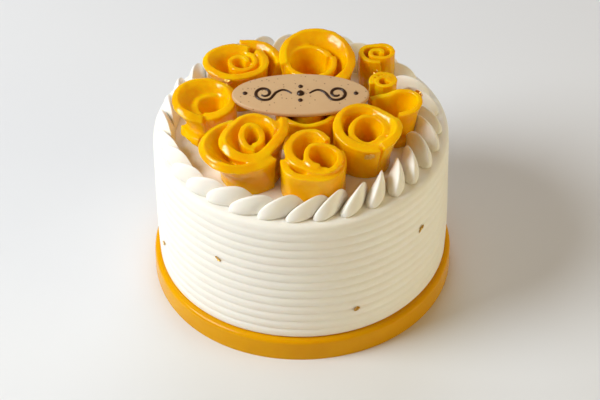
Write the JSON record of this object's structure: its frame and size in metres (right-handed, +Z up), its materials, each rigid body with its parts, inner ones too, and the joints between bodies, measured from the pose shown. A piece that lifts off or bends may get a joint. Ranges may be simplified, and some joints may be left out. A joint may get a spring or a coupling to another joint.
{
  "type": "mango cake",
  "caption": "Round cream cake on a mango layer, with a combed side, a piped petal border, rolled mango roses and a small oval chocolate plaque.",
  "frame": {"origin": "centre of the cake's underside, on the surface that it stands on", "axes": "+Z up; -Y is the front, towards the viewer of the picture; +X is to the right"},
  "size_m": [0.1561, 0.1561, 0.1163],
  "materials": {
    "mango_layer": "smooth glossy mango layer",
    "cream": "soft whipped cream, satin",
    "mango": "moist ripe mango flesh",
    "plaque": "satin blond chocolate with dark chocolate piping"
  },
  "bodies": {
    "root": {"mango_layer": "mango_layer", "cream_body": "cream", "cream_petal_01": "cream", "cream_petal_02": "cream", "cream_petal_03": "cream", "cream_petal_04": "cream", "cream_petal_05": "cream", "cream_petal_06": "cream", "cream_petal_07": "cream", "cream_petal_08": "cream", "cream_petal_09": "cream", "cream_petal_10": "cream", "cream_petal_11": "cream", "cream_petal_12": "cream", "cream_petal_13": "cream", "cream_petal_14": "cream", "cream_petal_15": "cream", "cream_petal_16": "cream", "cream_petal_17": "cream", "cream_petal_18": "cream", "cream_petal_19": "cream", "cream_petal_20": "cream", "cream_petal_21": "cream", "cream_petal_22": "cream", "cream_petal_23": "cream", "cream_petal_24": "cream", "cream_petal_25": "cream", "cream_petal_26": "cream", "cream_petal_27": "cream", "cream_petal_28": "cream", "cream_petal_29": "cream", "cream_petal_30": "cream", "cream_petal_31": "cream", "mango_rose_01": "mango", "mango_rose_02": "mango", "mango_rose_03": "mango", "mango_rose_04": "mango", "mango_rose_05": "mango", "mango_rose_06": "mango", "mango_rose_07": "mango", "mango_rose_08": "mango", "mango_rose_09": "mango", "mango_rose_10": "mango", "chocolate_plaque": "plaque"}
  },
  "joints": []
}
